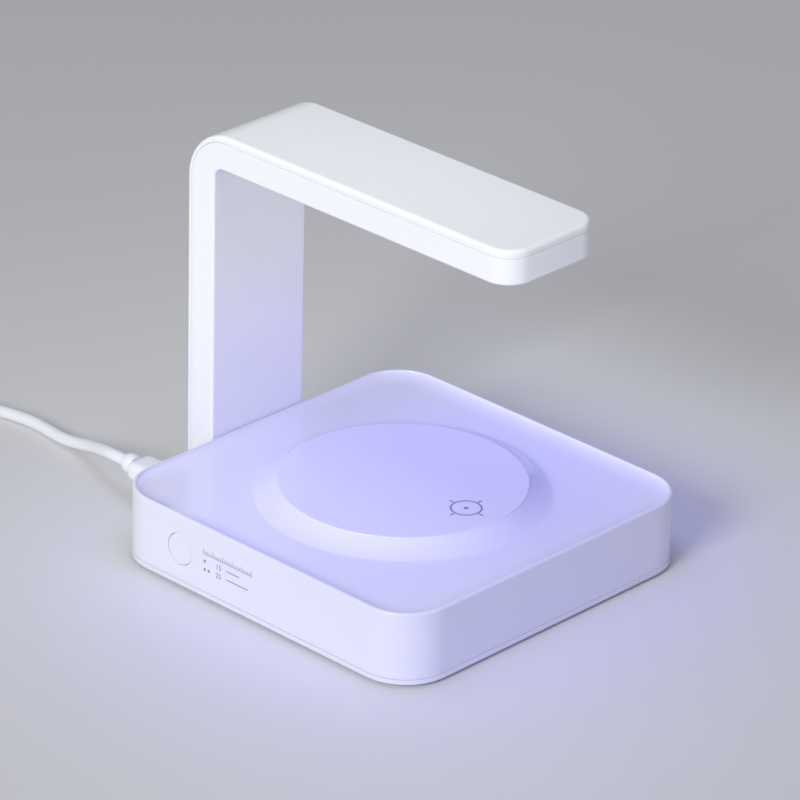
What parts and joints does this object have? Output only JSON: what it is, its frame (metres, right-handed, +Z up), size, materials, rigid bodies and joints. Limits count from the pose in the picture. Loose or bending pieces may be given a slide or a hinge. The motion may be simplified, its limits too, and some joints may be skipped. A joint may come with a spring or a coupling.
{
  "type": "uv sterilizer with wireless charger",
  "caption": "Desktop ultraviolet sterilizer: a square wireless charging base with a raised disc, a flat arm that turns forward over it with the lamp, a push button and a charging lead.",
  "frame": {"origin": "middle of the footprint of base and arm, on the surface that the feet stand on", "axes": "+X from the arm column towards the free end of the lamp head, +Z up; the push button is on the -Y face"},
  "size_m": [0.2807, 0.1561, 0.1295],
  "materials": {
    "housing": "glossy white moulded ABS",
    "button": "glossy white moulded ABS, like the housing",
    "window": "clear quartz-like window that passes ultraviolet",
    "foot_rubber": "pale grey soft rubber",
    "board": "green solder mask on a glass-fibre board",
    "lamp_board": "white solder mask on the lamp board",
    "emitter": "gold-bodied emitters with clear domes, lit",
    "black_plastic": "black moulded plastic",
    "cream_plastic": "cream moulded plastic",
    "metal": "plated steel",
    "copper": null,
    "ferrite": null,
    "capacitor": "yellow-brown moulded capacitor",
    "wire": "white wire sleeve",
    "cable": "satin white soft cable sleeve and overmould",
    "tie": "black strap round the spare turns"
  },
  "bodies": {
    "base": {"base_shell": "housing", "bottom_cover": "housing", "arm_body": "housing", "arm_cover": "housing", "uv_window": "window", "lamp_board": "lamp_board", "lamp_harness": "wire", "switch_body": "black_plastic", "switch_board": "board", "main_board": "board", "socket_shell": "metal", "socket_tongue": "black_plastic", "controller_chip": "black_plastic", "power_inductor": "ferrite", "capacitor_1": "capacitor", "capacitor_2": "capacitor", "lamp_connector": "cream_plastic", "coil_carrier": "black_plastic", "ferrite_plate": "ferrite", "charging_coil": "copper", "foot_front_left": "foot_rubber", "case_screw_front_left": "metal", "foot_front_right": "foot_rubber", "case_screw_front_right": "metal", "foot_rear_left": "foot_rubber", "case_screw_rear_left": "metal", "foot_rear_right": "foot_rubber", "case_screw_rear_right": "metal", "arm_screw_1": "metal", "arm_screw_2": "metal", "lamp_screw_1": "metal", "lamp_screw_2": "metal", "board_screw_1": "metal", "board_screw_2": "metal", "carrier_screw_1": "metal", "carrier_screw_2": "metal", "carrier_screw_3": "metal", "uv_emitter_1": "emitter", "uv_emitter_2": "emitter", "uv_emitter_3": "emitter", "uv_emitter_4": "emitter", "uv_emitter_5": "emitter", "uv_emitter_6": "emitter"},
    "button": {"button_cap": "button"},
    "plunger": {"switch_plunger": "cream_plastic"},
    "charging_lead": {"plug_tip": "metal", "plug_overmould": "cable", "plug_collar": "cable", "lead_cable": "cable", "lead_coil": "cable", "lead_tail": "cable", "far_plug_overmould": "cable", "far_plug_shell": "metal", "far_plug_tongue": "cream_plastic", "lead_tie": "tie"}
  },
  "joints": [
    {"name": "button_press", "type": "slide", "parent": "base", "child": "button", "axis": [0, 1, 0], "range_m": [0, 0.0008], "stiffness_N_per_m": 1200},
    {"name": "plunger_press", "type": "slide", "parent": "base", "child": "plunger", "axis": [0, 1, 0], "range_m": [0, 0.0008]},
    {"name": "plug_pull", "type": "slide", "parent": "base", "child": "charging_lead", "axis": [-1, 0, 0], "range_m": [0, 0.008]}
  ],
  "couplings": [
    {"joint": "plunger_press", "follows": "button_press", "ratio": 1}
  ]
}
